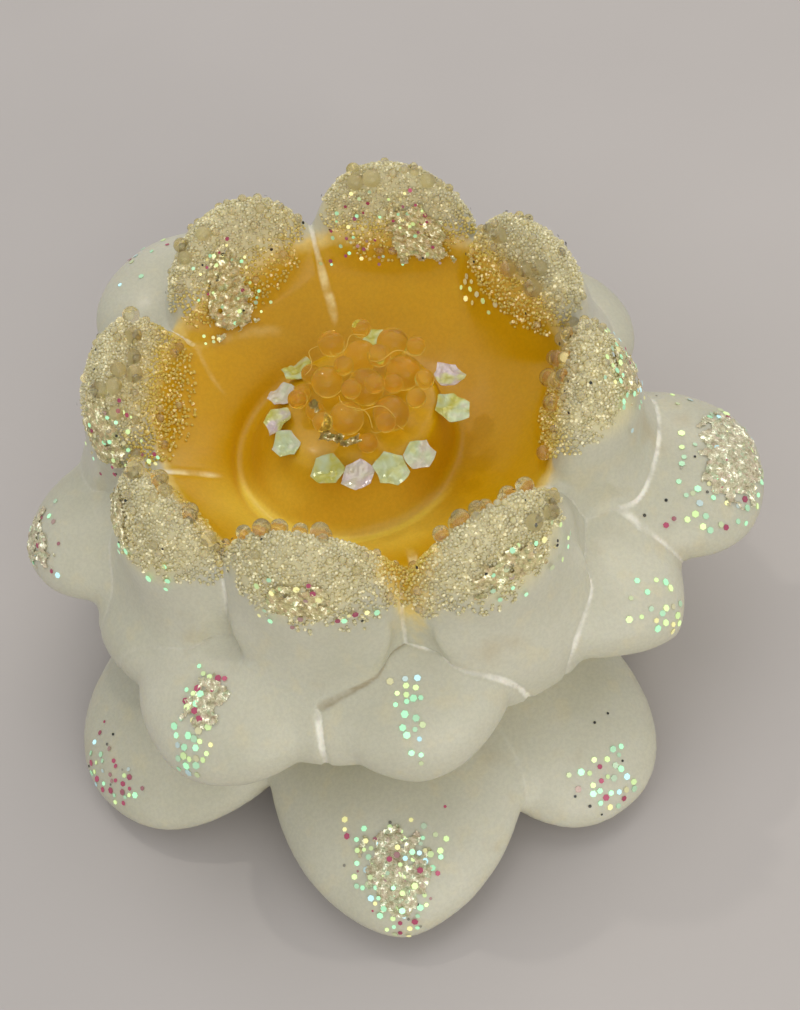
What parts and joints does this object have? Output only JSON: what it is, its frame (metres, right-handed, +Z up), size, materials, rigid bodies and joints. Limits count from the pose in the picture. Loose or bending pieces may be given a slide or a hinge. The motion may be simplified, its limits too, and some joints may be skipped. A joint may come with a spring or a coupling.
{
  "type": "glass water lily flower ornament",
  "caption": "Hollow blown glass ornament shaped as a water lily flower: whorls of petals round a deep cup, bead and sequin trim, and a capped neck with a wire loop at the back.",
  "frame": {"origin": "middle of the flat foot, on the flower's axis", "axes": "+Z up the flower's axis towards the petal tips, +Y towards the back, near the neck, and -Y towards the largest outer petal"},
  "size_m": [0.0826, 0.0893, 0.0467],
  "materials": {
    "pearl_glass": "pearly warm white lacquer, satin, on blown glass, with amber yellow lacquer in the cup",
    "clear_glass": "clear round glass beads, glossy, over the amber cup",
    "bead_crust": "bed of small clear glass beads in clear glue over the pearl petals",
    "sequin_film": "iridescent film, white with green, cyan and pink glints",
    "cap_metal": "thin stamped cap, soft gold",
    "wire_steel": "bright sprung wire"
  },
  "bodies": {
    "root": {"bead_01": "clear_glass", "bead_02": "clear_glass", "bead_03": "clear_glass", "bead_04": "clear_glass", "bead_05": "clear_glass", "bead_06": "clear_glass", "bead_07": "clear_glass", "bead_08": "clear_glass", "bead_09": "clear_glass", "bead_10": "clear_glass", "bead_11": "clear_glass", "bead_12": "clear_glass", "bead_13": "clear_glass", "bead_14": "clear_glass", "bead_15": "clear_glass", "bead_16": "clear_glass", "bead_17": "clear_glass", "bead_18": "clear_glass", "bead_19": "clear_glass", "bead_20": "clear_glass", "bead_21": "clear_glass", "bead_22": "clear_glass", "bead_23": "clear_glass", "bead_24": "clear_glass", "bead_crust_1": "bead_crust", "bead_crust_2": "bead_crust", "bead_crust_3": "bead_crust", "bead_crust_4": "bead_crust", "bead_crust_5": "bead_crust", "bead_crust_6": "bead_crust", "bead_crust_7": "bead_crust", "bead_crust_8": "bead_crust", "glass_body": "pearl_glass", "hanger_cap": "cap_metal", "hanger_loop": "wire_steel", "sequin_01": "sequin_film", "sequin_02": "sequin_film", "sequin_03": "sequin_film", "sequin_04": "sequin_film", "sequin_05": "sequin_film", "sequin_06": "sequin_film", "sequin_07": "sequin_film", "sequin_08": "sequin_film", "sequin_09": "sequin_film", "sequin_10": "sequin_film", "sequin_11": "sequin_film"}
  },
  "joints": []
}
